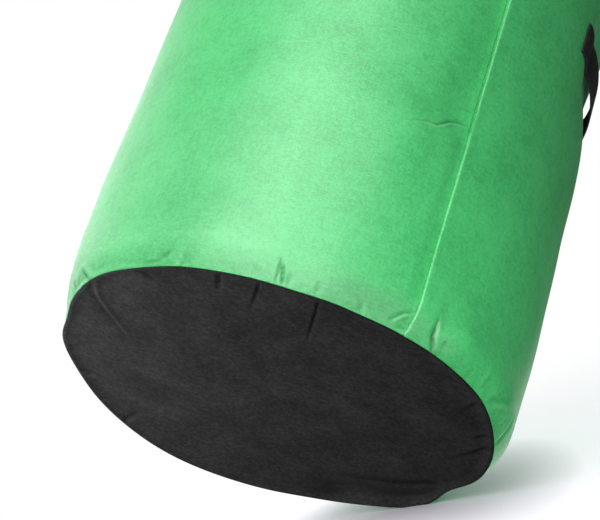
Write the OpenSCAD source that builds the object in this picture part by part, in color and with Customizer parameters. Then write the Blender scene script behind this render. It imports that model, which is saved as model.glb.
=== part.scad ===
// Fabric grow bag: a felt tube sewn to a round felt base, with a webbing hand strap on each side.
// The origin is the middle of the underside. +Z is up, the straps are at +X and -X, the front is at -Y.

/* [Bag] */
// Outside diameter of the felt tube
bag_d = 300; // [220:5:450]
// Height from the floor to the rim
bag_h = 350; // [250:5:600]
// Thickness of the felt
felt_t = 2.2; // [1.6:0.1:3]
// Radius of the wall's turn towards the base
foot_r = 40; // [32:1:60]
// Height above the floor at which that turn begins
foot_h = 24; // [18:1:28]

/* [Seams] */
// Width of felt turned in at the side seam and the base seam
seam_allowance = 12; // [8:1:16]
// Lean of the base seam's turned-in felt, away from upright
base_seam_lean = 32; // [20:1:42]
// Bearing of the side seam, from the front towards the right strap
side_seam_bearing = 36; // [0:1:55]
// Depth of felt folded in at the rim
hem_depth = 25; // [15:1:40]
// Slack between layers that are sewn together
layer_gap = 0.2; // [0.1:0.05:0.3]

/* [Straps] */
// Width of the webbing
webbing_w = 25; // [20:1:40]
// Thickness of the webbing
webbing_t = 1.5; // [1:0.1:2.5]
// Depth of the webbing's middle below the rim
strap_drop = 69; // [60:1:120]
// Length of wall that a strap covers from end to end
strap_span = 134; // [120:1:180]
// Length of webbing sewn down at each end
sewn_len = 25; // [20:1:32]
// Length over which the webbing lifts off the wall
lift_len = 12; // [8:1:16]
// Room for fingers between the wall and the grip
finger_gap = 5.5; // [4.5:0.1:12]
// Clearance between the grip and the ends that carry it
grip_gap = 0.4; // [0.3:0.1:1]

/* [Thread] */
// Diameter of the thread
thread_d = 0.8; // [0.5:0.1:1.2]
// Distance from one stitch to the next
stitch_pitch = 6; // [4:0.5:10]
// Stretch between two stitches where the thread is inside the felt
stitch_gap = 1.4; // [1:0.1:2]
// Distance of a strap's stitches from the edges of the webbing
stitch_inset = 3; // [2:0.5:5]
// Height of the hem's stitches above the lower edge of its fold
hem_stitch_up = 5; // [3:0.5:8]

/* [Hidden] */

$fn = 96;
// Length of webbing from one point of its curve to the next
strap_step = 2;
green_felt = [0.29, 0.78, 0.45];
black_felt = [0.16, 0.16, 0.17];
black_webbing = [0.09, 0.08, 0.08];
green_thread = [0.24, 0.66, 0.37];

bag_r = bag_d / 2;
wall_in_r = bag_r - felt_t;
// Outer radius of the fold at the rim, whose layers lie layer_gap apart
fold_r = felt_t + layer_gap / 2;
hem_low = bag_h - hem_depth;

// Radius at which the wall meets the floor, after its turn
seam_r = bag_r - foot_r * (1 - cos(asin(foot_h / foot_r)));
// Radius at which the base meets the floor, a layer's slack inside that
base_r = seam_r - layer_gap / cos(base_seam_lean);

strap_z = bag_h - strap_drop;
strap_in_r = bag_r + layer_gap;
sewn_from = strap_span / 2 - sewn_len;
grip_half = sewn_from - lift_len;

// Angle at the bag's axis for a length along the wall
function wall_angle(length) = length / bag_r * 180 / PI;
function smooth_step(x) = x * x * (3 - 2 * x);
function polar(r, angle) = r * [cos(angle), sin(angle)];
// A point of the base seam's turned-in felt: along it from the floor, and inwards across it
function seam_point(r, along, across) =
    [r, 0] + along * [-sin(base_seam_lean), cos(base_seam_lean)]
    - across * [cos(base_seam_lean), sin(base_seam_lean)];

// A strip that stands on the floor at the base seam and leans inwards with the turned-in felt
module leaning_strip(length, thickness) {
    translate([seam_r, 0])
        rotate(90 + base_seam_lean)
            translate([0, -thickness])
                square([length, thickness]);
}

// The wall's turn at the foot and the edge that it turns back up inside the bag
module foot_profile() {
    turn_center = [bag_r - foot_r, foot_h];
    intersection() {
        translate(turn_center) circle(foot_r);
        square([bag_r, foot_h]);
        union() {
            leaning_strip(seam_allowance, felt_t);
            difference() {
                leaning_strip(2 * foot_r, 2 * foot_r);
                translate(turn_center) circle(foot_r - felt_t);
            }
        }
    }
}

module hem_profile() {
    translate([bag_r - fold_r, bag_h - fold_r])
        intersection() {
            difference() {
                circle(fold_r);
                circle(layer_gap / 2);
            }
            translate([-fold_r, 0]) square([2 * fold_r, fold_r]);
        }
    translate([bag_r - 2 * fold_r, hem_low])
        square([felt_t, hem_depth - fold_r]);
}

module wall_profile() {
    foot_profile();
    translate([wall_in_r, foot_h])
        square([felt_t, bag_h - foot_h - fold_r]);
    hem_profile();
}

// Places children with +X pointing outwards through the side seam
module at_side_seam() {
    rotate([0, 0, side_seam_bearing - 90]) children();
}

// The wall's two edges, turned in side by side below the hem
module side_seam_flaps() {
    for (side = [-1, 1])
        translate([bag_r - seam_allowance, side * (layer_gap + felt_t) / 2 - felt_t / 2, foot_h])
            cube([seam_allowance - felt_t / 2, felt_t, hem_low - layer_gap - foot_h]);
}

// The slit between those edges, opening outwards over their rounded turns
module side_seam_parting() {
    turn_r = 1.5 * felt_t;
    turn_y = turn_r + layer_gap / 2;
    translate([0, 0, -felt_t])
        linear_extrude(bag_h + 2 * felt_t)
            union() {
                translate([seam_r - seam_allowance, -layer_gap / 2])
                    square([bag_r, layer_gap]);
                difference() {
                    translate([wall_in_r, -turn_y]) square([2 * felt_t, 2 * turn_y]);
                    for (side = [-1, 1])
                        translate([wall_in_r, side * turn_y]) circle(turn_r);
                }
            }
}

module wall_panel() {
    color(green_felt)
        difference() {
            union() {
                rotate_extrude() wall_profile();
                at_side_seam() side_seam_flaps();
            }
            at_side_seam() side_seam_parting();
        }
}

module base_disc() {
    inner_foot = seam_point(base_r, felt_t * (1 + sin(base_seam_lean)) / cos(base_seam_lean), felt_t);
    color(black_felt)
        rotate_extrude()
            polygon([
                [0, 0],
                [base_r, 0],
                seam_point(base_r, seam_allowance, 0),
                seam_point(base_r, seam_allowance, felt_t),
                inner_foot,
                [0, felt_t]
            ]);
}

module stitch(length) {
    cylinder(h = length, d = thread_d, center = true, $fn = 6);
}

// Stitches along a line on a round surface, between points given as [length along the wall, height]
module stitch_row(r, from, to) {
    count = max(1, round(norm(to - from) / stitch_pitch));
    step = (to - from) / count;
    length = norm([step[0] * r / bag_r, step[1]]) - stitch_gap;
    for (i = [0 : count - 1]) {
        middle = from + step * (i + 0.5);
        rotate([0, 0, wall_angle(middle[0])])
            translate([r, 0, middle[1]])
                rotate([atan2(step[1], step[0]) - 90, 0, 0])
                    stitch(length);
    }
}

module stitch_ring(r, height) {
    stitch_row(r, [0, height], [2 * PI * bag_r, height]);
}

module side_seam_thread() {
    length = hem_low - layer_gap - foot_h;
    count = round(length / stitch_pitch);
    step = length / count;
    color(green_thread)
        at_side_seam()
            for (side = [-1, 1], i = [0 : count - 1])
                translate([
                    bag_r - (felt_t + seam_allowance) / 2,
                    side * (felt_t + layer_gap / 2),
                    foot_h + step * (i + 0.5)
                ])
                    stitch(step - stitch_gap);
}

module base_seam_thread() {
    place = seam_point(base_r, seam_allowance / 2 + felt_t, felt_t);
    color(black_felt) stitch_ring(place[0], place[1]);
}

module hem_thread() {
    color(green_thread)
        for (r = [bag_r, bag_r - 2 * fold_r])
            stitch_ring(r, hem_low + hem_stitch_up);
}

// How far the webbing stands off the wall at a length along the wall from the strap's middle
function strap_lift(along) =
    finger_gap * smooth_step(min(1, max(0, (sewn_from - abs(along)) / lift_len)));

// The webbing seen from above: sewn flat at both ends, lifting off the wall to the grip between them
module strap_plan() {
    steps = 2 * ceil(strap_span / 2 / strap_step);
    places = [for (i = [0 : steps]) strap_span * (i / steps - 0.5)];
    inner = [for (along = places) polar(strap_in_r + strap_lift(along), wall_angle(along))];
    outer = [for (along = places) polar(strap_in_r + strap_lift(along) + webbing_t, wall_angle(along))];
    last = len(outer) - 1;
    polygon(concat(inner, [for (i = [0 : last]) outer[last - i]]));
}

module strap() {
    translate([0, 0, strap_z - webbing_w / 2])
        linear_extrude(webbing_w) strap_plan();
}

// A slab across the strap, as wide as the grip and what is added at each side
module grip_slab(added) {
    half = grip_half + added;
    translate([0, -half, strap_z - webbing_w])
        cube([bag_d, 2 * half, 2 * webbing_w]);
}

module handle_grip() {
    color(black_webbing)
        intersection() {
            strap();
            grip_slab(0);
        }
}

module handle_ends() {
    color(black_webbing)
        difference() {
            strap();
            grip_slab(grip_gap);
        }
}

// A box with crossed lines at each sewn end, on the webbing and on the inside of the wall
module handle_thread() {
    low = strap_z - webbing_w / 2 + stitch_inset;
    high = strap_z + webbing_w / 2 - stitch_inset;
    near = sewn_from + stitch_inset;
    far = strap_span / 2 - stitch_inset;
    lines = [
        [[near, low], [far, low]],
        [[near, high], [far, high]],
        [[near, low], [near, high]],
        [[far, low], [far, high]],
        [[near, low], [far, high]],
        [[near, high], [far, low]]
    ];
    color(black_webbing)
        for (r = [strap_in_r + webbing_t, wall_in_r], side = [-1, 1], line = lines)
            stitch_row(r, [side * line[0][0], line[0][1]], [side * line[1][0], line[1][1]]);
}

module on_left() {
    rotate([0, 0, 180]) children();
}

module right_handle_grip() { handle_grip(); }
module right_handle_ends() { handle_ends(); }
module right_handle_thread() { handle_thread(); }
module left_handle_grip() { on_left() handle_grip(); }
module left_handle_ends() { on_left() handle_ends(); }
module left_handle_thread() { on_left() handle_thread(); }

wall_panel();
base_disc();
side_seam_thread();
base_seam_thread();
hem_thread();
right_handle_grip();
right_handle_ends();
right_handle_thread();
left_handle_grip();
left_handle_ends();
left_handle_thread();
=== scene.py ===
"""The looks of a fabric grow bag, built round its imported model.

The felt wall, the felt base, the two webbing straps and the stitches each have an operator, and so has the
stage. Bearings are in degrees, from the front of the bag (-Y) towards its right strap (+X).
"""

from itertools import combinations
from math import asin, atan2, cos, degrees, exp, pi, radians, sin, sqrt, tan

import bmesh
import bpy
from bpy.props import FloatProperty, FloatVectorProperty, PointerProperty
from mathutils import Matrix, Vector, noise


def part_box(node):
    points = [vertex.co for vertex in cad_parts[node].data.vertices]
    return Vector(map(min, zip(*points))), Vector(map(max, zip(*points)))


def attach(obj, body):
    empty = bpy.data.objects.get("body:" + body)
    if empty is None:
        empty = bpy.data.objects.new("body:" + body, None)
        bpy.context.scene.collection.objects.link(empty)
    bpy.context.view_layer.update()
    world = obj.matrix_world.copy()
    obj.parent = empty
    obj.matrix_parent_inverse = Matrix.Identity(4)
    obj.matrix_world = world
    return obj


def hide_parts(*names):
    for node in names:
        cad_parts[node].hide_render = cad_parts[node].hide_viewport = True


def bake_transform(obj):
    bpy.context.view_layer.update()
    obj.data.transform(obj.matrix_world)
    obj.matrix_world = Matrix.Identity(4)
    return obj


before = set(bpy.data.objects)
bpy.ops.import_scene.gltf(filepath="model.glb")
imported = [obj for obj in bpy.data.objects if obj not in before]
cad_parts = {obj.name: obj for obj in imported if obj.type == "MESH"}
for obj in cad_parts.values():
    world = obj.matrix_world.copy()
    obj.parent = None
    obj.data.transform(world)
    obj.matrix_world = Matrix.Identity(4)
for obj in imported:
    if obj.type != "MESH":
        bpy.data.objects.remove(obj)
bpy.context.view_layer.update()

bl_info = {
    "name": "Fabric Grow Bag",
    "version": (1, 0, 0),
    "blender": (4, 5, 0),
    "location": "3D View > Sidebar > Grow Bag",
    "description": "Dresses a packed grow bag in felt, webbing and thread",
    "category": "Add Mesh",
}

MM = 0.001
UP = Vector((0, 0, 1))
WALL_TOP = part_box("wall_panel")[1]
GRIP_LOW, GRIP_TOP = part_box("right_handle_grip")

# Bearings of the middles of the two straps
STRAP_BEARINGS = {"right": 90, "left": -90}


# Sizes and colours that a user would change

def length(name, description, default):
    return FloatProperty(name=name, description=description, default=default, min=0, unit="LENGTH")


def angle(name, description, default):
    return FloatProperty(name=name, description=description, default=radians(default), subtype="ANGLE")


def colour(name, description, default):
    return FloatVectorProperty(
        name=name, description=description, default=default, size=3, min=0, max=1, subtype="COLOR"
    )


class GrowBagFelt(bpy.types.PropertyGroup):
    """Sizes of the felt wall and base."""

    radius: length("Radius", "Outside radius of the felt tube", WALL_TOP.x)
    height: length("Height", "Height of the rim above the floor", WALL_TOP.z)
    thickness: length("Felt thickness", "Thickness of the felt", 2.2 * MM)
    foot_radius: length("Foot radius", "Radius of the wall's turn towards the base", 40 * MM)
    foot_height: length("Foot height", "Height at which that turn begins", 24 * MM)
    seam_allowance: length("Seam allowance", "Width of felt turned in at the seams", 12 * MM)
    seam_lean: angle("Base seam lean", "Lean of the base seam's turned-in felt from upright", 32)
    side_seam: angle("Side seam bearing", "Bearing of the side seam from the front", 36)
    hem_depth: length("Hem depth", "Depth of felt folded in at the rim", 25 * MM)
    layer_gap: length("Layer gap", "Slack between layers that are sewn together", 0.2 * MM)


class GrowBagStraps(bpy.types.PropertyGroup):
    """Sizes of the webbing straps."""

    width: length("Webbing width", "Width of the webbing", GRIP_TOP.z - GRIP_LOW.z)
    thickness: length("Webbing thickness", "Thickness of the webbing", 1.5 * MM)
    middle: length("Strap height", "Height of the webbing's middle", (GRIP_TOP.z + GRIP_LOW.z) / 2)
    span: length("Strap span", "Length of wall that a strap covers", 134 * MM)
    sewn: length("Sewn length", "Length of webbing sewn down at each end", 25 * MM)
    lift: length("Lift length", "Length over which the webbing lifts off the wall", 18 * MM)
    grip_radius: length("Grip radius", "Inside radius of the webbing between its ends", 147.2 * MM)
    pull: length("Pull", "How far a strap draws the wall in", 8.4 * MM)


class GrowBagThread(bpy.types.PropertyGroup):
    """Sizes of the stitches."""

    diameter: length("Thread diameter", "Thickness of the thread", 0.9 * MM)
    pitch: length("Stitch pitch", "Distance from one stitch to the next", 6 * MM)
    gap: length("Stitch gap", "Stretch between stitches where the thread is inside the felt", 1.2 * MM)
    inset: length("Stitch inset", "Distance of a strap's stitches from its edges", 3 * MM)
    hem_up: length("Hem stitch height", "Height of the hem's stitches above the hem's edge", 5 * MM)


class GrowBagColours(bpy.types.PropertyGroup):
    """Colours of the felt and the webbing."""

    green_felt: colour("Green felt", "Colour of the wall", (0.050, 0.600, 0.160))
    black_felt: colour("Black felt", "Colour of the base", (0.042, 0.042, 0.043))
    black_webbing: colour("Black webbing", "Colour of the straps", (0.020, 0.0195, 0.0195))


PROPERTY_GROUPS = {
    "grow_bag_felt": GrowBagFelt,
    "grow_bag_straps": GrowBagStraps,
    "grow_bag_thread": GrowBagThread,
    "grow_bag_colours": GrowBagColours,
}


# The shape that handling and sewing give to the felt

# Where the base seam leaves a true circle: bearing, spread in degrees, shift in millimetres
RING_BULGES = (
    (-147, 14, 6.0),
    (-101, 11, -3.3),
    (-72, 6, -2.8),
    (-42, 10, 4.2),
    (-20, 7, 2.2),
    (9, 7, -2.2),
    (24, 4, -1.0),
    (46, 7, 1.7),
    (63, 9, 3.0),
    (122, 6, -5.5),
    (139, 6, 2.5),
    (157, 6, -1.5),
    (171, 9, -4.0),
)
# Height over which the wall takes up the base seam's shape, and how far and how high the sewing thins it
RING_REACH = 60 * MM
SEAM_PINCH = 1.2 * MM
PINCH_REACH = 16 * MM

# Soft hollows and swells of the wall: bearing, spread in degrees, height, spread, shift in millimetres
WALL_SWELLS = (
    (-84, 30, 15, 9, -3.8),
    (-72, 27, 38, 26, -1.9),
    (93, 28, 85, 38, 1.7),
    (20.5, 6, 98, 26, 2.2),
    (29, 5, 152, 8, -1.7),
    (25, 6, 127, 8, 0.6),
    (31, 3, 9, 8, -1.2),
    (44, 3, 24, 12, -0.8),
    (50, 5, 12, 12, 2.5),
    (78, 5, 8, 10, 2.0),
)

# Fold lines on the wall: points as bearing and height, then depth and half width in millimetres,
# and the rise of the lip on the left of the line
WALL_FOLDS = (
    (
        ((36, 149), (33, 147.5), (30.5, 144), (28.4, 138), (27.2, 135.6), (24.5, 134.5), (18, 127)),
        -1.3, 0.6, 1.2,
    ),
    (((36, 13.7), (34.1, 11.4), (32.6, 7), (30.2, 1)), -1.3, 0.55, 0.7),
    (((36, 3), (34.2, 3.4), (32.8, 0.5)), -0.9, 0.5, 0.4),
    (((44.6, 0), (42.3, 8), (41.6, 22)), -2.4, 0.6, -1.0),
    (((43.4, 12), (42.4, 24), (43, 40)), -0.5, 2.4, 0.0),
    (((5.5, 0), (4.9, 6), (3.6, 16)), -1.4, 0.55, -0.3),
    (((3.7, 0), (3.8, 6), (3.6, 15)), -0.6, 0.55, 0.2),
    (((-2, 0), (-2, 9)), -1.2, 0.7, 0.4),
    (((-19.6, 0), (-17.6, 9)), -1.2, 0.7, 0.4),
    (((-24, 4.5), (-21, 10)), -1.0, 0.7, 0.3),
    (((-29.5, 2), (-24, 3)), -1.0, 0.8, 0.3),
    (((-48, 1), (-51.5, 8), (-55.5, 17)), 1.5, 1.2, -1.0),
    (((-59, 2), (-62, 9), (-66, 16)), -1.2, 1.2, 0.7),
    (((62, 5), (62.2, 16)), -0.9, 1.0, 0.5),
    (((68, 1), (72, 8), (79, 18)), 1.1, 1.3, -0.7),
    (((87.5, 0), (85, 8), (82, 24)), -1.6, 2.0, 0.8),
)

# Fold lines on the base: points as bearing and radius, then depth, half width and lip in millimetres
BASE_FOLDS = (
    (((-46.5, 141), (-53, 131), (-58.8, 118), (-65.5, 104), (-76, 92)), -1.5, 1.2, 0.9),
    (((0, 141), (-1.2, 126), (-6, 96)), 1.2, 0.7, -0.3),
    (((14.5, 140), (15.2, 124), (18, 76)), 1.1, 0.7, -0.3),
    (((-9.6, 141), (-14, 114)), 1.3, 1.0, -0.3),
    (((66, 141), (73, 122)), 1.4, 1.2, -0.4),
    (((82, 141), (88, 126)), 1.4, 1.1, -0.4),
    (((88, 141), (96, 129), (108, 112)), 1.5, 1.2, -0.4),
    (((122, 135), (135, 117), (149, 106), (170, 98)), 1.6, 1.4, 0.8),
    (((-100, 141), (-107, 118)), 1.1, 1.4, -0.4),
    (((-128, 141), (-124, 112)), 1.2, 1.4, -0.4),
    (((46, 141), (43, 122)), 1.1, 1.1, -0.3),
    (((-32, 141), (-30, 122)), 1.0, 1.1, -0.3),
)

# The line along which the base is bent up where it has rested on its edge
BEND_BEARING = 163
BEND_OFFSET = 102 * MM
BEND_RISE = 4.5 * MM
BEND_WIDTH = 26 * MM

# Small gathers along the base seam: how many, the height that none passes, half width and lip in millimetres
GATHER_COUNT = 46
GATHER_TOP = 30 * MM
GATHER_WIDTH = 1.3
GATHER_LIP = 0.2

# From the inner edge of a strap's sewn end: how far outwards its pull on the wall begins, how far inwards the
# pull is full, and how far outwards the webbing begins to lift. The pull has a spread in height as well.
PULL_FROM = 22 * MM
PULL_FULL = 14 * MM
LIFT_FROM = 12 * MM
PULL_SPREAD = 24 * MM

# How far the hem's two layers stand out, and how far its stitches draw them in
HEM_SWELL = 0.35 * MM
HEM_DIMPLE = 0.5 * MM

# Shares of the base's radius between which it takes up its rim's shape
RIM_FROM = 0.6
RIM_FULL = 0.97


def smooth_step(low, high, x):
    share = min(1.0, max(0.0, (x - low) / (high - low)))
    return share * share * (3 - 2 * share)


def bell(off, spread):
    return exp(-0.5 * (off / spread) ** 2)


def turn_between(bearing, other):
    """The bearing as seen from another one, within half a turn."""
    return (bearing - other + 180) % 360 - 180


def bearing_of(place):
    return degrees(atan2(place.x, -place.y))


def polar(bearing, radius, height=0.0):
    return Vector((radius * sin(radians(bearing)), -radius * cos(radians(bearing)), height))


class Fold:
    """A fold line on felt: a bell-shaped groove or ridge with a lip beside it, fading out along its way."""

    # Shares of the line's length
    FADE_IN = 0.06
    FADE_OUT = 0.55
    # In half widths of the line
    REACH = 6
    LIP_OFF = 2.4
    LIP_SPREAD = 1.5

    def __init__(self, points, depth, width, lip):
        self.points = [Vector(point) for point in points]
        self.depth = depth * MM
        self.width = width * MM
        self.lip = lip * MM
        reach = self.REACH * self.width
        self.low = [min(axis) - reach for axis in zip(*points)]
        self.high = [max(axis) + reach for axis in zip(*points)]
        self.length = sum((b - a).length for a, b in zip(self.points, self.points[1:]))

    def shift(self, x, y):
        """How far the fold moves the felt at a place, outwards if positive."""
        if not (self.low[0] < x < self.high[0] and self.low[1] < y < self.high[1]):
            return 0.0
        place = Vector((x, y))
        passed = 0.0
        best = None
        for start, end in zip(self.points, self.points[1:]):
            leg = end - start
            share = min(1.0, max(0.0, (place - start).dot(leg) / leg.length_squared))
            off = place - start - leg * share
            if best is None or off.length < best[0]:
                side = leg.x * off.y - leg.y * off.x
                best = (off.length, 1 if side > 0 else -1, (passed + share * leg.length) / self.length)
            passed += leg.length
        off, side, along = best
        fade = smooth_step(0, self.FADE_IN, along) * smooth_step(1, 1 - self.FADE_OUT, along)
        lip = self.lip * bell(side * off - self.LIP_OFF * self.width, self.LIP_SPREAD * self.width)
        return fade * (self.depth * bell(off, self.width) + lip)


class BagShape:
    """Places on the felt, worked out from the sizes."""

    def __init__(self, scene):
        self.felt = felt = scene.grow_bag_felt
        self.strap = scene.grow_bag_straps
        self.thread = scene.grow_bag_thread
        self.seam_bearing = degrees(felt.side_seam)
        self.degree = radians(1) * felt.radius
        self.inner_radius = felt.radius - felt.thickness
        self.turn_radius = felt.radius - felt.foot_radius
        self.foot_angle = asin(felt.foot_height / felt.foot_radius)
        self.seam_radius = self.turn_radius + felt.foot_radius * cos(self.foot_angle)
        self.base_radius = self.seam_radius - felt.layer_gap / cos(felt.seam_lean)
        self.fold_radius = felt.thickness + felt.layer_gap / 2
        self.hem_low = felt.height - felt.hem_depth
        self.flap_top = self.hem_low - felt.layer_gap
        self.sewn_from = self.strap.span / 2 - self.strap.sewn
        self.wall_folds = [self.wall_fold(*fold) for fold in WALL_FOLDS]
        self.gathers = [self.wall_fold(*self.gather(i)) for i in range(GATHER_COUNT)]
        self.base_folds = [self.base_fold(*fold) for fold in BASE_FOLDS]

    def wall_fold(self, points, *form):
        return Fold([(bearing * self.degree, height * MM) for bearing, height in points], *form)

    def base_fold(self, points, *form):
        return Fold([polar(bearing, radius * MM).xy for bearing, radius in points], *form)

    def gather(self, index):
        """One small fold that runs up from the base seam, as wall_fold takes it."""
        vary = [noise.noise(Vector((index * 3.7, row * 9.1, 0.5))) for row in range(4)]
        bearing = turn_between(360 / GATHER_COUNT * (index + vary[0]), 0)
        top = 10 + 7 * vary[1]
        lean = 2 * vary[2]
        depth = -0.35 - 0.3 * vary[3]
        return ((bearing, 0), (bearing + lean, top)), depth, GATHER_WIDTH, GATHER_LIP

    def seam_place(self, radius, along, across):
        """Radius and height on the base seam's turned-in felt: along it, and outwards across it."""
        lean = self.felt.seam_lean
        return radius - along * sin(lean) + across * cos(lean), along * cos(lean) + across * sin(lean)

    def ring_shift(self, bearing):
        """How far the base seam stands outside a true circle."""
        return MM * sum(shift * bell(turn_between(bearing, at), spread) for at, spread, shift in RING_BULGES)

    def strap_pull(self, bearing, height):
        """How far the straps draw the wall in."""
        near = min(abs(turn_between(bearing, middle)) for middle in STRAP_BEARINGS.values()) * self.degree
        share = smooth_step(self.sewn_from + PULL_FROM, self.sewn_from - PULL_FULL, near)
        return self.strap.pull * share * bell(height - self.strap.middle, PULL_SPREAD)

    def seam_shift(self, off, height):
        """The side seam's section: on its right the felt rolls over a ridge, and on its left it dips."""
        spread = 1 + 0.7 * smooth_step(45 * MM, 0, height)
        if off > 0:
            roll = 1.0 * MM * spread
            swell = 0.4 * MM * bell(off - 2.0 * MM * spread, 1.8 * MM * spread)
        else:
            slack = smooth_step(120 * MM, 170 * MM, height)
            roll = 0.4 * MM
            swell = -(1.4 + 1.6 * slack) * MM * smooth_step((12 + 20 * slack) * MM, 0, -off)
        inside = max(0.0, 1 - abs(off) / roll)
        return swell - roll * (1 - sqrt(1 - inside * inside))

    def waves(self, bearing, height):
        """Soft waves of felt that has been folded and filled, and the rim's sway."""
        place = polar(bearing, self.felt.radius, height)
        wave = 0.8 * noise.noise(place * 10) + 0.45 * noise.noise(place * 24 + UP * 7)
        turn = radians(bearing)
        sway = 1.5 * sin(2 * turn + 0.6) + 0.9 * sin(3 * turn - 1.1) + 0.5 * sin(7 * turn)
        calm = smooth_step(0, 30 * MM, height)
        return MM * (wave * (0.3 + 0.7 * calm) + sway * smooth_step(230 * MM, self.felt.height, height))

    def wall_crease(self, bearing, height):
        """How far fold lines and gathers move the wall."""
        along = turn_between(bearing, 0) * self.degree
        folds = self.wall_folds + self.gathers if height < GATHER_TOP else self.wall_folds
        return sum(fold.shift(along, height) for fold in folds)

    def base_crease(self, place):
        """How far fold lines move the base."""
        return sum(fold.shift(place.x, place.y) for fold in self.base_folds)

    def wall_shift(self, bearing, height):
        """How far the wall stands outside the plain tube, square to it."""
        off_seam = turn_between(bearing, self.seam_bearing) * self.degree
        pull = self.strap_pull(bearing, height)
        shift = self.waves(bearing, height) * (1 - pull / self.strap.pull) - pull
        shift += self.seam_shift(off_seam, height)
        for at, spread, middle, rise, swell in WALL_SWELLS:
            shift += MM * swell * bell(turn_between(bearing, at), spread) * bell(height / MM - middle, rise)
        shift += self.wall_crease(bearing, height)
        hem_line = height - self.hem_low - self.thread.hem_up
        shift += HEM_SWELL * smooth_step(self.hem_low - 3 * MM, self.hem_low + 2 * MM, height)
        shift -= HEM_DIMPLE * bell(hem_line, 1.5 * MM)
        return shift * smooth_step(0, 4 * MM, height)

    def wall_place(self, bearing, height, inset=0.0):
        """A place on the upright part of the wall, inset into the felt."""
        return polar(bearing, self.felt.radius + self.wall_shift(bearing, height) - inset, height)

    def dress_wall(self, place):
        """Moves a point of the plain wall to where it is on the used one."""
        bearing = bearing_of(place)
        radius = place.xy.length
        ring = self.ring_shift(bearing) * smooth_step(RING_REACH, 0, place.z)
        shift = self.wall_shift(bearing, place.z)
        across, up = 1.0, 0.0
        if place.z < self.felt.foot_height:
            from_turn = Vector((radius - self.turn_radius, place.z - self.felt.foot_height))
            across, up = from_turn.normalized()
            inside = self.felt.foot_radius - self.felt.thickness
            shift *= smooth_step(inside - 2 * MM, inside - 0.1 * MM, from_turn.length)
            if from_turn.length > self.felt.foot_radius - 0.5 * MM:
                ring -= SEAM_PINCH * smooth_step(PINCH_REACH, 0, place.z)
        return polar(bearing, radius + ring + shift * across, place.z + shift * up)

    def base_bend(self, place):
        """How far the base is bent up beyond a line across it, where it has rested on its edge."""
        across = place.dot(polar(BEND_BEARING, 1)) - BEND_OFFSET
        along = place.dot(polar(BEND_BEARING - 90, 1))
        return BEND_RISE * smooth_step(0, BEND_WIDTH, across) * smooth_step(-25 * MM, 12 * MM, along)

    def dress_base(self, place):
        """Moves a point of the plain base to where it is on the used one."""
        bearing = bearing_of(place)
        radius = place.xy.length
        share = smooth_step(RIM_FROM * self.base_radius, RIM_FULL * self.base_radius, radius)
        ring = self.ring_shift(bearing) * share
        lift = MM * (1.4 + 0.6 * noise.noise(place * 14) + 0.35 * noise.noise(place * 40))
        lift += self.base_bend(place)
        lift += self.base_crease(place)
        lift *= smooth_step(self.base_radius - 0.5 * MM, self.base_radius - 8 * MM, radius)
        if radius > self.base_radius - 1 * MM - self.felt.thickness:
            lift = 0.0
        return polar(bearing, radius + ring, place.z + max(0.0, lift))

    def strap_radius(self, bearing, along, height):
        """Inside radius of a strap's webbing at a length along the wall from the strap's middle."""
        seated = self.felt.radius + self.wall_shift(bearing, height) + self.felt.layer_gap
        lifts = self.sewn_from + LIFT_FROM
        loose = smooth_step(lifts, lifts - self.strap.lift, abs(along))
        return seated + max(0.0, self.strap.grip_radius - seated) * loose


# Meshes

# The mesh attribute that says how far folds move the felt, in millimetres outwards. The felt finishes paint
# shade in grooves and a highlight on ridges by it
CREASE = "crease"

# Vertices this near to each other are one, and edges turned by more degrees than this are cut ones
MERGE = 0.01 * MM
SHARP = 50

# Heights on the wall's outer face in millimetres, and the rows of faces up to each
WALL_ROWS = ((60, 18), (122, 16), (156, 42), (318, 32), (338, 12))

BASE_SECTORS = 12
SECTOR_COLUMNS = 56
STRAP_COLUMNS = 134
STRAP_ROWS = 12
WEBBING_BEVEL = 0.45 * MM


class SectionPen:
    """Draws an outline in the XZ plane with straight runs and round turns, with a vertex at each step."""

    def __init__(self, bm, x, z):
        self.bm = bm
        self.tip = bm.verts.new((x, 0, z))

    def run(self, x, z, steps=1):
        start = self.tip.co.copy()
        for step in range(1, steps + 1):
            self.tip = bmesh.ops.extrude_vert_indiv(self.bm, verts=[self.tip])["verts"][0]
            self.tip.co = start.lerp(Vector((x, 0, z)), step / steps)

    def turn(self, x, z, swing, steps):
        """Turns about a point, from +X towards +Z if the swing is positive."""
        grown = bmesh.ops.spin(
            self.bm, geom=[self.tip], cent=(x, 0, z), axis=(0, -1, 0), angle=swing, steps=steps
        )
        self.tip = next(item for item in grown["geom_last"] if isinstance(item, bmesh.types.BMVert))


def round_corner(pen, corner, coming, going, radius, steps):
    """Runs to a corner and round it, from one direction to another, both as angles from +X."""
    swing = going - coming
    before = radius * tan(abs(swing) / 2)
    start = Vector(corner) - before * Vector((cos(coming), sin(coming)))
    side = coming + (pi / 2 if swing > 0 else -pi / 2)
    center = start + radius * Vector((cos(side), sin(side)))
    pen.run(*start, steps=4)
    pen.turn(*center, swing, steps)


def take_mesh(name, bm):
    mesh = bpy.data.meshes.new(name)
    bm.to_mesh(mesh)
    bm.free()
    return mesh


def add_object(name, data):
    made = bpy.data.objects.new(name, data)
    bpy.context.scene.collection.objects.link(made)
    return made


def make_piece(name, bm, finish, sharp=SHARP):
    """Turns a finished bmesh into an object with smooth faces and sharp cut edges."""
    mesh = take_mesh(name, bm)
    mesh.shade_smooth()
    mesh.set_sharp_from_angle(angle=radians(sharp))
    mesh.materials.append(finish)
    return add_object(name, mesh)


def merge(bm):
    bmesh.ops.remove_doubles(bm, verts=bm.verts[:], dist=MERGE)


def face_outwards(bm):
    bmesh.ops.recalc_face_normals(bm, faces=bm.faces[:])


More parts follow.
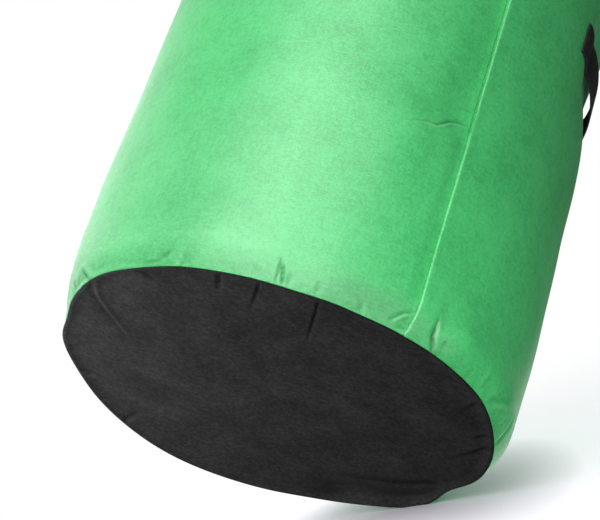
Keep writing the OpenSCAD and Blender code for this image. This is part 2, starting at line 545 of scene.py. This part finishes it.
def draw_wall_section(bm, shape):
    """The wall's section: up its outer face from its turned-in edge to the hem, and back down inside."""
    felt = shape.felt
    lean = pi / 2 + felt.seam_lean
    rise = pi / 2 - shape.foot_angle
    edge_turn = 0.4 * MM
    turn = (shape.turn_radius, felt.foot_height)
    fold_x = felt.radius - shape.fold_radius
    fold_z = felt.height - shape.fold_radius
    hem_x = felt.radius - 2 * shape.fold_radius
    pen = SectionPen(bm, *shape.seam_place(shape.seam_radius, felt.seam_allowance, 0))
    round_corner(pen, (shape.seam_radius, 0), lean - pi, rise, edge_turn, 4)
    turned = edge_turn * tan((rise - lean + pi) / 2) / felt.foot_radius
    pen.turn(*turn, shape.foot_angle - turned, 26)
    for height, rows in WALL_ROWS:
        pen.run(felt.radius, height * MM, rows)
    pen.run(felt.radius, fold_z, 3)
    pen.turn(fold_x, fold_z, pi, 8)
    pen.run(hem_x, shape.hem_low, 6)
    pen.run(hem_x + felt.thickness, shape.hem_low)
    pen.run(hem_x + felt.thickness, fold_z, 3)
    pen.turn(fold_x, fold_z, -pi, 2)
    pen.run(shape.inner_radius, shape.flap_top, 5)
    pen.run(shape.inner_radius, felt.foot_height, 26)
    inside = felt.foot_radius - felt.thickness
    corner = Vector(shape.seam_place(shape.seam_radius, 0, felt.thickness))
    corner -= Vector(turn)
    up = Vector((cos(lean), sin(lean)))
    half = corner.dot(up)
    along = -half - sqrt(half * half - corner.length_squared + inside * inside)
    corner += along * up
    pen.turn(*turn, atan2(corner.y, corner.x), 8)
    pen.run(*shape.seam_place(shape.seam_radius, felt.seam_allowance, felt.thickness), steps=3)
    pen.run(*shape.seam_place(shape.seam_radius, felt.seam_allowance, 0))
    merge(bm)


def gather_up(bm, part):
    """Adds a finished part to a mesh in the making."""
    mesh = take_mesh("part", part)
    bm.from_mesh(mesh)
    bpy.data.meshes.remove(mesh)


def spin_sector(bm, draw_section, shape, start, swing, steps):
    """Spins a section about Z from one angle on, and adds the sector to a mesh."""
    part = bmesh.new()
    draw_section(part, shape)
    bmesh.ops.rotate(part, verts=part.verts[:], matrix=Matrix.Rotation(start, 3, "Z"))
    bmesh.ops.spin(
        part, geom=part.verts[:] + part.edges[:], cent=(0, 0, 0), axis=UP, angle=swing, steps=steps
    )
    gather_up(bm, part)


def turn_in_seam(bm, shape):
    """Draws the two edges of the wall at the side seam inwards, from the foot to the hem."""
    felt = shape.felt
    inwards = polar(shape.seam_bearing, felt.thickness - felt.seam_allowance)

    def beside_seam(face):
        middle = face.calc_center_median()
        off = turn_between(bearing_of(middle), shape.seam_bearing) * shape.degree
        on_face = abs(middle.xy.length - shape.inner_radius) < 0.05 * MM
        within = felt.foot_height < middle.z < shape.flap_top
        return on_face and within and abs(off) < shape.fold_radius

    flaps = [face for face in bm.faces if beside_seam(face)]
    drawn = bmesh.ops.extrude_face_region(bm, geom=flaps)
    moved = [item for item in drawn["geom"] if isinstance(item, bmesh.types.BMVert)]
    bmesh.ops.delete(bm, geom=flaps, context="FACES_ONLY")
    bmesh.ops.translate(bm, verts=moved, vec=inwards)


def wall_mesh(shape):
    """The wall panel, wrapped round from one side of the side seam to the other."""
    felt = shape.felt
    around = 2 * pi * felt.radius
    # Lengths of wall from the seam, and the columns of faces up to each
    columns = (
        (shape.fold_radius, 6),
        (10 * MM, 6),
        (30 * MM, 22),
        (150 * MM, 74),
        (215 * MM, 22),
        (540 * MM, 44),
        (685 * MM, 48),
        (around - 96 * MM, 70),
        (around - 12 * MM, 94),
        (around - shape.fold_radius, 8),
        (around - felt.layer_gap / 2, 6),
    )
    bm = bmesh.new()
    passed = felt.layer_gap / 2
    for to, steps in columns:
        start = radians(shape.seam_bearing - 90) + passed / felt.radius
        spin_sector(bm, draw_wall_section, shape, start, (to - passed) / felt.radius, steps)
        passed = to
    merge(bm)
    ends = [edge for edge in bm.edges if edge.is_boundary]
    caps = bmesh.ops.edgeloop_fill(bm, edges=ends)
    bmesh.ops.triangulate(bm, faces=caps["faces"])
    face_outwards(bm)
    turn_in_seam(bm, shape)
    crease = bm.verts.layers.float.new(CREASE)
    for vert in bm.verts:
        vert[crease] = shape.wall_crease(bearing_of(vert.co), vert.co.z) / MM
        vert.co = shape.dress_wall(vert.co)
    face_outwards(bm)
    return bm


def draw_base_section(bm, shape):
    """The base's section: its underside, its turned-up rim and its upper side."""
    felt = shape.felt
    lean = pi / 2 + felt.seam_lean
    edge_turn = 0.5 * MM
    across = -felt.thickness
    inner_along = felt.thickness * (1 + sin(felt.seam_lean)) / cos(felt.seam_lean)
    pen = SectionPen(bm, 0, 0)
    pen.run(RIM_FROM * shape.base_radius, 0, 24)
    pen.run(RIM_FULL * shape.base_radius, 0, 28)
    round_corner(pen, (shape.base_radius, 0), 0, lean, edge_turn, 4)
    pen.run(*shape.seam_place(shape.base_radius, felt.seam_allowance, 0), steps=3)
    pen.run(*shape.seam_place(shape.base_radius, felt.seam_allowance, across))
    pen.run(*shape.seam_place(shape.base_radius, inner_along, across), steps=4)
    pen.run(RIM_FROM * shape.base_radius, felt.thickness, 20)
    pen.run(0, felt.thickness, 14)


def base_mesh(shape):
    """The base: a round of felt whose rim is turned up inside the wall's edge."""
    swing = 2 * pi / BASE_SECTORS
    bm = bmesh.new()
    for sector in range(BASE_SECTORS):
        spin_sector(bm, draw_base_section, shape, sector * swing, swing, SECTOR_COLUMNS)
    merge(bm)
    crease = bm.verts.layers.float.new(CREASE)
    for vert in bm.verts:
        vert[crease] = -shape.base_crease(vert.co) / MM
        vert.co = shape.dress_base(vert.co)
    face_outwards(bm)
    return bm


def strap_mesh(shape, middle):
    """One strap: a strip of webbing that follows the wall where it is sewn and stands off it between."""
    strap = shape.strap
    bm = bmesh.new()
    bm.loops.layers.uv.verify()
    bmesh.ops.create_grid(bm, x_segments=STRAP_COLUMNS, y_segments=STRAP_ROWS, size=0.5, calc_uvs=True)
    for vert in bm.verts:
        along = vert.co.x * strap.span
        height = strap.middle + vert.co.y * strap.width
        bearing = middle + along / shape.degree
        vert.co = polar(bearing, shape.strap_radius(bearing, along, height), height)
    face_outwards(bm)
    outward = polar(middle, 1)
    if sum(face.normal.dot(outward) for face in bm.faces) > 0:
        bmesh.ops.reverse_faces(bm, faces=bm.faces[:])
    bmesh.ops.solidify(bm, geom=bm.faces[:], thickness=strap.thickness)
    face_outwards(bm)
    rims = [edge for edge in bm.edges if edge.calc_face_angle(0) > radians(SHARP)]
    bmesh.ops.bevel(
        bm, geom=rims, offset=WEBBING_BEVEL, segments=2, profile=0.5, affect="EDGES", material=-1
    )
    return bm


# Stitches

# A mesh takes new stitches faster while it is small, so they are added by so many
STITCHES_AT_ONCE = 16
STITCH_SIDES = 6

# How far beside the side seam's parting its stitches take the wall's shape, and how deep a strap's are sunk
PARTING_SIDE = 0.4 * MM
STITCH_SUNK = 0.05 * MM


def add_stitch(bm, start, end, outward, thread):
    """One stitch: a drop of thread from one needle hole to the next."""
    along = (end - start).normalized()
    across = along.cross(outward).normalized()
    turned = Matrix((across, along.cross(across), along)).transposed().to_4x4()
    long = (end - start).length - thread.gap
    sized = Matrix.Diagonal((thread.diameter / 2, thread.diameter / 3, long / 2, 1))
    place = Matrix.Translation((start + end) / 2) @ turned @ sized
    bmesh.ops.create_uvsphere(bm, u_segments=STITCH_SIDES, v_segments=STITCH_SIDES, radius=1, matrix=place)


def sew(shape, rows):
    """Rows of stitches: each has its start and end, as length along the wall and height, and two functions
    of these that give a place and its outward direction."""
    bm = bmesh.new()
    for start, end, place, outward in rows:
        start = Vector(start)
        end = Vector(end)
        count = max(1, round((end - start).length / shape.thread.pitch))
        holes = [start.lerp(end, i / count) for i in range(count + 1)]
        stitches = list(zip(holes, holes[1:]))
        for first in range(0, count, STITCHES_AT_ONCE):
            part = bmesh.new()
            for a, b in stitches[first:first + STITCHES_AT_ONCE]:
                add_stitch(part, place(*a), place(*b), outward(*(a + b) / 2), shape.thread)
            gather_up(bm, part)
    return bm


def side_seam_rows(shape):
    felt = shape.felt
    inset = (felt.thickness + felt.seam_allowance) / 2
    across = polar(shape.seam_bearing + 90, 1)
    for side in (-1, 1):
        bearing = shape.seam_bearing + side * PARTING_SIDE / shape.degree
        off = across * side * shape.fold_radius
        yield (
            (0, felt.foot_height),
            (0, shape.flap_top),
            lambda along, height: shape.wall_place(bearing, height, inset) + off,
            lambda along, height: across * side,
        )


def base_seam_rows(shape):
    felt = shape.felt
    middle = felt.seam_allowance / 2 + felt.thickness
    radius, height = shape.seam_place(shape.base_radius, middle, -felt.thickness)

    def place(along, up):
        bearing = along / shape.degree
        return polar(bearing, radius + shape.ring_shift(bearing), up)

    def outward(along, up):
        return polar(along / shape.degree, -cos(felt.seam_lean), -sin(felt.seam_lean))

    yield (0, height), (360 * shape.degree, height), place, outward


def hem_rows(shape):
    height = shape.hem_low + shape.thread.hem_up
    for inset, side in ((0, 1), (2 * shape.fold_radius, -1)):
        yield (
            (0, height),
            (360 * shape.degree, height),
            lambda along, up: shape.wall_place(along / shape.degree, up, inset),
            lambda along, up: polar(along / shape.degree, side),
        )


def strap_rows(shape, middle):
    """A box with crossed lines at each sewn end, on the webbing and on the inside of the wall."""
    strap = shape.strap
    inset = shape.thread.inset
    low = strap.middle - strap.width / 2 + inset
    high = strap.middle + strap.width / 2 - inset
    near = shape.sewn_from + inset
    far = strap.span / 2 - inset

    def on_webbing(along, height):
        bearing = middle + along / shape.degree
        radius = shape.strap_radius(bearing, along, height) + strap.thickness - STITCH_SUNK
        return polar(bearing, radius, height)

    def inside(along, height):
        return shape.wall_place(middle + along / shape.degree, height, shape.felt.thickness)

    for place, way in ((on_webbing, 1), (inside, -1)):
        for side in (-1, 1):
            corners = [(side * along, height) for along in (near, far) for height in (low, high)]
            for start, end in combinations(corners, 2):
                yield start, end, place, lambda along, up: polar(middle + along / shape.degree, way)


# Finishes

def maths(operation, swapped=False):
    """A method of Wire that adds a Math node, with the wire as its last value if swapped."""
    def apply(wire, *others):
        values = (*others, wire) if swapped else (wire, *others)
        return wire.finish.node("Math", dict(enumerate(values)), operation=operation)
    return apply


class Wire:
    """A shader socket for use in expressions."""

    __add__ = maths("ADD")
    __radd__ = maths("ADD", swapped=True)
    __sub__ = maths("SUBTRACT")
    __rsub__ = maths("SUBTRACT", swapped=True)
    __mul__ = maths("MULTIPLY")
    __rmul__ = maths("MULTIPLY", swapped=True)
    __mod__ = maths("FLOORED_MODULO")
    __gt__ = maths("GREATER_THAN")
    __lt__ = maths("LESS_THAN")
    __abs__ = maths("ABSOLUTE")
    sine = maths("SINE")
    floor = maths("FLOOR")

    def __init__(self, finish, socket):
        self.finish = finish
        self.socket = socket


# Share of a crease's full painted shade, or painted highlight, that each millimetre of its depth brings
CREASE_PAINT_SHARE = 0.36


class Finish:
    """The node tree of a material or a world. Its nodes all come from node()."""

    def __init__(self, owner):
        owner.use_nodes = True
        self.owner = owner
        self.tree = owner.node_tree
        self.tree.nodes.clear()

    def node(self, kind, inputs=None, output=0, **settings):
        """Adds a shader node of a kind, with the values or links of its sockets and its settings."""
        made = self.tree.nodes.new("ShaderNode" + kind)
        for name, value in settings.items():
            setattr(made, name, value)
        for name, value in (inputs or {}).items():
            if isinstance(value, Wire):
                self.tree.links.new(value.socket, made.inputs[name])
            else:
                made.inputs[name].default_value = value
        return Wire(self, made.outputs[output]) if made.outputs else made

    def place(self):
        return self.node("TexCoord", output="Object")

    def stretched(self, place, scale):
        return self.node("Mapping", {"Vector": place, "Scale": scale})

    def noise(self, place, scale, detail=2.0, roughness=0.5, distortion=0.0):
        names = ("Vector", "Scale", "Detail", "Roughness", "Distortion")
        values = (place, scale, detail, roughness, distortion)
        return self.node("TexNoise", dict(zip(names, values)), "Fac")

    def ramp(self, tone, *stops):
        """Shades by tone, through stops given as positions and colours."""
        shades = self.node("ValToRGB", {"Fac": tone})
        elements = shades.socket.node.color_ramp.elements
        while len(elements) < len(stops):
            elements.new(1)
        for element, (position, tint) in zip(elements, stops):
            element.position = position
            element.color = tint
        return shades

    def mix(self, share, first, second):
        return self.node("Mix", {"Factor": share, 6: first, 7: second}, 2, data_type="RGBA")

    def bump(self, height, distance, strength):
        return self.node("Bump", {"Height": height, "Distance": distance, "Strength": strength})

    def paint_crease_shade_and_highlight(self, shades, groove, ridge):
        """Felt's shades with painted shade in its grooves and a painted highlight on its ridges, by the
        crease attribute.
        """
        crease = self.node("Attribute", output="Fac", attribute_name=CREASE)
        sunk = self.node("Clamp", {"Value": -CREASE_PAINT_SHARE * crease})
        raised = self.node("Clamp", {"Value": CREASE_PAINT_SHARE * crease})
        return self.mix(raised, self.mix(sunk, shades, groove), ridge)

    def surface(self, shader):
        """Ends a material, and gives it."""
        self.node("OutputMaterial", {"Surface": shader})
        return self.owner

    def cloth(self, inputs):
        return self.surface(self.node("BsdfPrincipled", inputs))


def shade(tint, factor, pale=0.0):
    """A colour made darker or lighter and then paler, with alpha."""
    return tuple(min(1.0, part * factor) * (1 - pale) + pale for part in tint) + (1.0,)


def green_felt(colours):
    """Needled green felt: cloudy, mottled and fuzzy."""
    felt = Finish(bpy.data.materials.new("green_felt"))
    green = colours.green_felt
    place = felt.place()
    cloud = felt.noise(place, 26, 3) + 0.5 * (felt.noise(place, 110, 3) - 0.5)
    blotch = felt.noise(place, 300, 3, 0.6, 0.6)
    grain = felt.noise(place, 1300, 2, 0.6)
    upright = felt.stretched(place, (1, 1, 0.22))
    level = felt.stretched(place, (0.25, 0.25, 1))
    fibres = felt.noise(upright, 850, 2, 0.5, 1.5) + felt.noise(level, 800, 2, 0.5, 1.5)
    tone = 0.5 + 0.8 * (blotch - 0.5) + 0.6 * (grain - 0.5) + 0.9 * (fibres - 1) + 0.8 * (cloud - 0.5)
    dark = shade(green, 0.78, -0.008)
    light = shade(green, 1.11, 0.025)
    shades = felt.ramp(tone, (0.15, dark), (0.50, shade(green, 1.0)), (0.85, light))
    height = 0.6 * blotch + 0.3 * grain + 0.4 * fibres
    return felt.cloth({
        # Painted shade in the folds' grooves and a painted highlight on their ridges
        "Base Color": felt.paint_crease_shade_and_highlight(shades, shade(green, 0.35), shade(green, 1.2, 0.14)),
        "Roughness": 0.48 + 0.12 * blotch,
        "Normal": felt.bump(height, 0.5 * MM, 0.4),
        "Specular IOR Level": 1.0,
        "Sheen Weight": 0.05,
        "Sheen Roughness": 0.45,
        "Sheen Tint": (0.85, 1.0, 0.88, 1.0),
    })


def black_felt(colours):
    """Needled black felt with specks of lint."""
    felt = Finish(bpy.data.materials.new("black_felt"))
    black = colours.black_felt
    place = felt.place()
    cloud = felt.noise(place, 30, 3)
    blotch = felt.noise(place, 380, 3, 0.6, 0.5)
    grain = felt.noise(place, 1400, 2, 0.6)
    cells = felt.node("TexVoronoi", {"Vector": place, "Scale": 210}, "Distance")
    lint = (cells < 0.10) * (felt.noise(place, 95, 1) > 0.64)
    tone = 0.5 + 1.3 * (blotch - 0.5) + 1.1 * (grain - 0.5) + 0.9 * (cloud - 0.5)
    dark = shade(black, 0.62)
    light = shade(black, 1.55)
    shades = felt.ramp(tone, (0.15, dark), (0.50, shade(black, 1.0)), (0.85, light))
    # Painted shade in the folds' grooves and a painted highlight on their ridges
    painted_crease_shades = felt.paint_crease_shade_and_highlight(shades, shade(black, 0.35), shade(black, 1.6, 0.01))
    return felt.cloth({
        "Base Color": felt.mix(0.3 * lint, painted_crease_shades, (0.20, 0.21, 0.19, 1.0)),
        "Roughness": 0.80 + 0.18 * grain,
        "Normal": felt.bump(0.6 * blotch + 0.5 * grain, 0.35 * MM, 0.6),
        "Specular IOR Level": 0.08,
    })


# Yarns side by side in the webbing, and the length of one pass of its weft
YARNS = 17
WEFT_PITCH = 1.6 * MM


def black_webbing(colours, strap):
    """Woven webbing: lengthwise yarns that pass over and under the weft, with a selvedge at each edge."""
    weave = Finish(bpy.data.materials.new("black_webbing"))
    black = colours.black_webbing
    flat = weave.node("UVMap")
    along = weave.node("SeparateXYZ", {0: flat}, "X") * (strap.span / WEFT_PITCH)
    across = weave.node("SeparateXYZ", {0: flat}, "Y")
    yarn = across * YARNS
    passing = along + 0.5 * (yarn.floor() % 2)
    crown = abs((yarn * pi).sine())
    over = abs((passing * pi).sine())
    selvedge = (abs(across - 0.5) > 0.455) * 0.4
    height = crown * (0.45 + 0.55 * over) + selvedge
    fuzz = weave.noise(weave.place(), 1800)
    # The weave's pattern is drawn in its tone by height, besides its fuzz: a painted highlight on the yarns'
    # crowns and the selvedges, and painted shade between the yarns
    tone = 0.55 * height + 0.5 * fuzz
    return weave.cloth({
        "Base Color": weave.ramp(
            tone, (0.10, shade(black, 0.5)), (0.55, shade(black, 1.1)), (0.95, shade(black, 2.4))
        ),
        "Roughness": 0.55 + 0.25 * fuzz,
        "Normal": weave.bump(height, 0.4 * MM, 0.8),
        "Specular IOR Level": 0.2,
    })


# The stage

# The picture's camera, seen from the bag: azimuth, elevation and roll in degrees, distance and offsets in
# metres, lens and sensor in millimetres
CAMERA_AZIMUTH = 12.5
CAMERA_ELEVATION = -30.485
CAMERA_ROLL = 18.934
CAMERA_DISTANCE = 1.1004
CAMERA_ASIDE = 0.0168
CAMERA_ABOVE = 0.0873
CAMERA_LENS = 105.04
CAMERA_SENSOR = 36

FLOOR_SIZE = 4.0
# In the picture the bag is tipped onto the far edge of its base: bearing of that edge and slope of that floor
TIPPED_FLOOR_BEARING = 138
TIPPED_FLOOR_SLOPE = 55

# Lamps as bearing, elevation, distance and size in metres, the share of white to which they light white, and
# what they light. Those for gloss are only mirrored in the bag.
LAMPS = {
    "key": (-20, 20, 1.2, 0.6, 0.63, "bag"),
    "key_gloss": (-13, 12, 1.4, 0.7, 0.82, "gloss"),
    "side_gloss": (-85, 10, 1.4, 0.7, 0.42, "gloss"),
    "foot_gloss": (-9, -30, 1.4, 0.5, 0.64, "gloss"),
    "front": (0, -14, 0.72, 0.5, 0.07, "bag"),
    "under": (35, -50, 1.2, 0.6, 0.10, "wall"),
    "right_bounce": (38, -36, 0.5, 0.25, 0.24, "wall"),
    "right_rim": (118, -22, 0.6, 0.3, 0.11, "wall"),
    "rim_gloss": (165, 6, 1.0, 0.6, 0.35, "gloss"),
    "left_rim_gloss": (-130, 22, 1.2, 0.6, 0.31, "gloss"),
    "low_fill": (-80, -48, 0.55, 0.3, 0.62, "base"),
    "left_fill": (-72, -32, 1.2, 0.6, 0.33, "wall"),
    "back_fill": (-155, 35, 1.8, 1.0, 0.12, "bag"),
    "floor_key": (-52, 8, 4.0, 4.0, 0.60, "floors"),
}
AMBIENT = 0.08

WHITE = (1.0, 1.0, 1.0, 1.0)
BLACK = (0.0, 0.0, 0.0, 1.0)
# The floors' paper: its colour, tinted against the green light that the wall throws on it, the blue tint of
# its glow, which shows in its shadows, and how near to it things take its glow away as a painted contact
# shadow
PAPER_COLOUR = (0.84, 0.68, 0.92, 1.0)
PAPER_GLOW = (0.96, 0.99, 1.0, 1.0)
CONTACT_REACH = 0.05


def make_camera(scene):
    camera = bpy.data.cameras.new("camera")
    camera.lens = CAMERA_LENS
    camera.sensor_width = CAMERA_SENSOR
    scene.camera = add_object("camera", camera)
    turned = Matrix.Identity(4)
    for turn, axis in ((CAMERA_AZIMUTH, "Z"), (90 - CAMERA_ELEVATION, "X"), (CAMERA_ROLL, "Z")):
        turned = turned @ Matrix.Rotation(radians(turn), 4, axis)
    scene.camera.matrix_world = turned @ Matrix.Translation((CAMERA_ASIDE, CAMERA_ABOVE, CAMERA_DISTANCE))


def lit_objects(name, objects, link_state):
    """A collection that says which objects lamps light, or which they leave out."""
    lit = bpy.data.collections.new(name)
    for item in objects:
        lit.objects.link(item)
    for member in lit.collection_objects:
        member.light_linking.link_state = link_state
    return lit


def make_lamps(target, floors, base):
    """Lamps that each light what their use names. The floors' lamp casts the bag's shadow on them."""
    lit = {
        "bag": lit_objects("lit_bag", floors, "EXCLUDE"),
        "gloss": lit_objects("mirrored_bag", floors, "EXCLUDE"),
        "wall": lit_objects("lit_wall", (*floors, base), "EXCLUDE"),
        "base": lit_objects("lit_base", (base,), "INCLUDE"),
        "floors": lit_objects("lit_floors", floors, "INCLUDE"),
    }
    for name, (bearing, elevation, distance, size, strength, use) in LAMPS.items():
        lamp = bpy.data.lights.new(name, "AREA")
        lamp.size = size
        lamp.energy = strength * (pi * distance) ** 2
        holder = add_object(name, lamp)
        holder.visible_diffuse = use != "gloss"
        holder.visible_glossy = use == "gloss"
        holder.light_linking.receiver_collection = lit[use]
        away = polar(bearing, cos(radians(elevation)), sin(radians(elevation)))
        turned = away.to_track_quat("Z", "Y").to_matrix().to_4x4()
        holder.matrix_world = Matrix.Translation(target + away * distance) @ turned


def make_world(scene):
    """A white surround for the eye, and a softer even light for the bag."""
    sky = Finish(bpy.data.worlds.new("surround"))
    scene.world = sky.owner
    seen = sky.node("LightPath", output="Is Camera Ray")
    strength = AMBIENT + (1 - AMBIENT) * seen
    glow = sky.node("Background", {"Color": WHITE, "Strength": strength})
    sky.node("OutputWorld", {"Surface": glow})


def floor_finish(name, glow, middle, near, far, through_floor=False):
    """White paper that only the eye sees, from its front, with the bag's shadow on it near a middle: cast by
    its lamp, and painted where things near it take its glow away.
    """
    paper = Finish(bpy.data.materials.new(name))
    seen = paper.node("LightPath", output="Is Camera Ray")
    seen *= 1 - paper.node("NewGeometry", output="Backfacing")
    place = paper.place()
    away = paper.node("VectorMath", {0: place, 1: middle}, "Value", operation="DISTANCE")
    if through_floor:
        passed = paper.node("LightPath", output="Transparent Depth")
        below = paper.node("SeparateXYZ", {0: place}, "Z") < 0
        seen *= (passed + below) > 0.5
    lit = paper.node("BsdfDiffuse", {"Color": PAPER_COLOUR})
    # The glow goes dark where the AO node finds things near: a painted contact shadow
    painted_contact_shadow_mask = paper.node("AmbientOcclusion", {"Distance": CONTACT_REACH}, "AO")
    light = paper.mix(painted_contact_shadow_mask, BLACK, PAPER_GLOW)
    glowing = paper.node("Emission", {"Color": light, "Strength": glow})
    both = paper.node("AddShader", {0: lit, 1: glowing})
    white = paper.node("Emission", {"Color": WHITE, "Strength": 1.0})
    fade = {"Value": away, "From Min": near, "From Max": far}
    distant = paper.node("MapRange", fade, interpolation_type="SMOOTHSTEP")
    both = paper.node("MixShader", {0: distant, 1: both, 2: white})
    clear = paper.node("BsdfTransparent")
    return paper.surface(paper.node("MixShader", {0: seen, 1: clear, 2: both}))


def make_floor(name, matrix, finish):
    bm = bmesh.new()
    bmesh.ops.create_grid(bm, x_segments=1, y_segments=1, size=FLOOR_SIZE / 2, matrix=matrix)
    mesh = take_mesh(name, bm)
    mesh.materials.append(finish)
    floor = add_object(name, mesh)
    floor.visible_shadow = False
    return floor


# Operators

# Distances from the bag's axis for the swing of a strap's grip. The strap operator works out a place at each
# but does not use them
BLEND_FROM = 141 * MM
BLEND_TO = 145 * MM


class PieceMaker:
    """What the operators that make pieces share."""

    def execute(self, context):
        self.make(BagShape(context.scene), context.scene.grow_bag_colours)
        return {"FINISHED"}


class GROWBAG_OT_wall_panel(PieceMaker, bpy.types.Operator):
    """Make the felt wall, with its foot, side seam and hem"""

    bl_idname = "growbag.wall_panel"
    bl_label = "Wall Panel"

    def make(self, shape, colours):
        wall = make_piece("wall_felt", wall_mesh(shape), green_felt(colours))
        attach(wall, "bag")
        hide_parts("wall_panel")


class GROWBAG_OT_base_disc(PieceMaker, bpy.types.Operator):
    """Make the felt base, with its turned-up rim"""

    bl_idname = "growbag.base_disc"
    bl_label = "Base Disc"

    def make(self, shape, colours):
        base = make_piece("base_felt", base_mesh(shape), black_felt(colours))
        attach(base, "bag")
        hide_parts("base_disc")


class GROWBAG_OT_hand_straps(PieceMaker, bpy.types.Operator):
    """Make the webbing strap on each side"""

    bl_idname = "growbag.hand_straps"
    bl_label = "Hand Straps"

    def make(self, shape, colours):
        finish = black_webbing(colours, shape.strap)
        for side, bearing in STRAP_BEARINGS.items():
            strap = make_piece(f"{side}_strap", strap_mesh(shape, bearing), finish)
            start = polar(bearing, BLEND_FROM)
            end = polar(bearing, BLEND_TO)
            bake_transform(strap)
            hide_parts(f"{side}_handle_grip", f"{side}_handle_ends")


class GROWBAG_OT_stitching(PieceMaker, bpy.types.Operator):
    """Sew the seams, the hem and the ends of the straps"""

    bl_idname = "growbag.stitching"
    bl_label = "Stitching"

    def make(self, shape, colours):
        seams = [
            ("side_seam_stitches", side_seam_rows(shape), "side_seam_thread", "green_thread"),
            ("base_seam_stitches", base_seam_rows(shape), "base_seam_thread", "black_thread"),
            ("hem_stitches", hem_rows(shape), "hem_thread", "green_thread"),
        ]
        for side, bearing in STRAP_BEARINGS.items():
            rows = strap_rows(shape, bearing)
            seams.append((f"{side}_strap_stitches", rows, f"{side}_handle_thread", "black_thread"))
        # The threads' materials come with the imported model
        for name, rows, node, thread in seams:
            piece = make_piece(name, sew(shape, rows), bpy.data.materials[thread], sharp=180)
            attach(piece, "bag")
            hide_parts(node)


class GROWBAG_OT_stage(bpy.types.Operator):
    """Set the floor, the light and the camera"""

    bl_idname = "growbag.stage"
    bl_label = "Stage"

    def execute(self, context):
        scene = context.scene
        scene.view_settings.view_transform = "Standard"
        make_camera(scene)
        make_world(scene)
        rim = BagShape(scene).seam_radius
        level_paper = floor_finish("level_paper", glow=0.92, middle=(0, 0, 0), near=0.18, far=0.60)
        level = make_floor("level_floor", Matrix.Identity(4), level_paper)
        contact = polar(TIPPED_FLOOR_BEARING, rim)
        turned = Matrix.Rotation(radians(TIPPED_FLOOR_BEARING - 180), 4, "Z")
        tipped = Matrix.Translation(contact) @ turned @ Matrix.Rotation(radians(TIPPED_FLOOR_SLOPE), 4, "X")
        tipped_paper = floor_finish(
            "tipped_paper", glow=0.82, middle=contact, near=0.06, far=0.32, through_floor=True
        )
        slope = make_floor("tipped_floor", tipped, tipped_paper)
        middle = UP * scene.grow_bag_felt.height / 2
        make_lamps(middle, (level, slope), bpy.data.objects["base_felt"])
        return {"FINISHED"}


OPERATORS = (
    GROWBAG_OT_wall_panel,
    GROWBAG_OT_base_disc,
    GROWBAG_OT_hand_straps,
    GROWBAG_OT_stitching,
    GROWBAG_OT_stage,
)


class GROWBAG_PT_sidebar(bpy.types.Panel):
    """Lists the grow bag's sizes and the operators that make its pieces"""

    bl_idname = "GROWBAG_PT_sidebar"
    bl_label = "Grow Bag"
    bl_space_type = "VIEW_3D"
    bl_region_type = "UI"
    bl_category = "Grow Bag"

    def draw(self, context):
        for name, group in PROPERTY_GROUPS.items():
            box = self.layout.box()
            for field in group.__annotations__:
                box.prop(getattr(context.scene, name), field)
        for operator in OPERATORS:
            self.layout.operator(operator.bl_idname)


CLASSES = (*PROPERTY_GROUPS.values(), *OPERATORS, GROWBAG_PT_sidebar)


def register():
    for item in CLASSES:
        bpy.utils.register_class(item)
    for name, group in PROPERTY_GROUPS.items():
        setattr(bpy.types.Scene, name, PointerProperty(type=group))


def unregister():
    for name in PROPERTY_GROUPS:
        delattr(bpy.types.Scene, name)
    for item in reversed(CLASSES):
        bpy.utils.unregister_class(item)


def main():
    register()
    bpy.ops.growbag.wall_panel()
    bpy.ops.growbag.base_disc()
    bpy.ops.growbag.hand_straps()
    bpy.ops.growbag.stitching()
    bpy.ops.growbag.stage()


if __name__ == "__main__":
    main()
